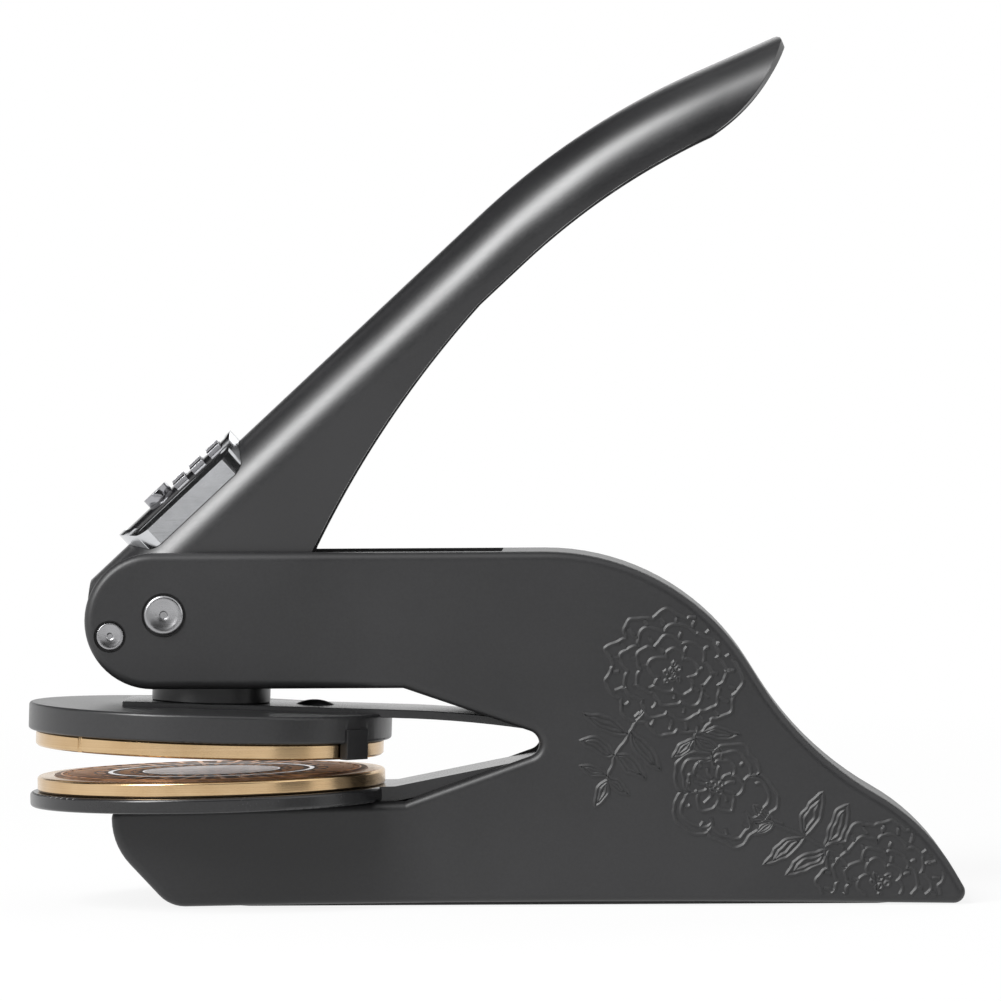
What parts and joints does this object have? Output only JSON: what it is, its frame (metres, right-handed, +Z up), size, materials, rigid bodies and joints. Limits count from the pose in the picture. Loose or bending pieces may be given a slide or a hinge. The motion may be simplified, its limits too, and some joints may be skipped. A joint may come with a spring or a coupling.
{
  "type": "seal embosser",
  "caption": "Desk seal embosser with a cast frame, a long curved channel lever on a cam, and a sprung clip that carries round brass dies under a throat for paper.",
  "frame": {"origin": "under the middle of the object's length and width, on the surface that it stands on", "axes": "+X runs from the dies to the tail, +Y across, +Z up"},
  "size_m": [0.134, 0.0522, 0.1237],
  "materials": {
    "casting_paint": "satin charcoal powder coat over a zinc casting",
    "handle_paint": "satin charcoal powder coat over pressed steel",
    "leaf_paint": "black finish on spring steel",
    "pad_paint": "satin black paint on steel",
    "boss_paint": "satin black",
    "sole_rubber": "matt black",
    "plated": "bright plating",
    "washer_plastic": "natural nylon",
    "dark_steel": "blackened steel",
    "steel": "zinc-plated steel",
    "brass": "turned and satin finished",
    "engraved_face": "engraved and browned",
    "cam_metal": "ground steel",
    "bush_brass": "plain",
    "inlay_black": "gloss black"
  },
  "bodies": {
    "frame": {"frame_casting": "casting_paint", "sole_pad": "sole_rubber", "pivot_barrel": "plated", "pivot_screw": "plated", "pivot_washers": "washer_plastic", "stop_barrel": "plated", "stop_screw": "plated", "lower_leaf": "leaf_paint", "leaf_screws": "dark_steel", "lower_die": "brass", "lower_die_face": "engraved_face", "clip_block": "steel", "clip_rivets": "steel", "clip_screw": "dark_steel"},
    "lever": {"handle": "handle_paint", "cam": "cam_metal", "cam_rivets": "steel", "cam_bush": "bush_brass", "badge_bezel": "plated", "badge_inlay": "inlay_black", "badge_emblem": "plated", "badge_push_nuts": "steel"},
    "press_arm": {"upper_leaf": "leaf_paint", "press_boss": "boss_paint", "leaf_rivet": "dark_steel", "upper_pad": "pad_paint", "upper_die": "brass", "upper_die_face": "engraved_face"}
  },
  "joints": [
    {"name": "lever_press", "type": "hinge", "parent": "frame", "child": "lever", "pos_m": [-0.0469, 0, 0.0416], "axis": [0, 1, 0], "range_deg": [0, 28], "stiffness_Nm_per_rad": 0.08, "springref_deg": -40.11},
    {"name": "arm_close", "type": "hinge", "parent": "frame", "child": "press_arm", "pos_m": [0.0117, 0, 0.0244], "axis": [0, -1, 0], "range_deg": [0, 3], "stiffness_Nm_per_rad": 0.8, "springref_deg": -6.88}
  ],
  "couplings": [
    {"joint": "arm_close", "follows": "lever_press", "ratio": 0.10714}
  ]
}
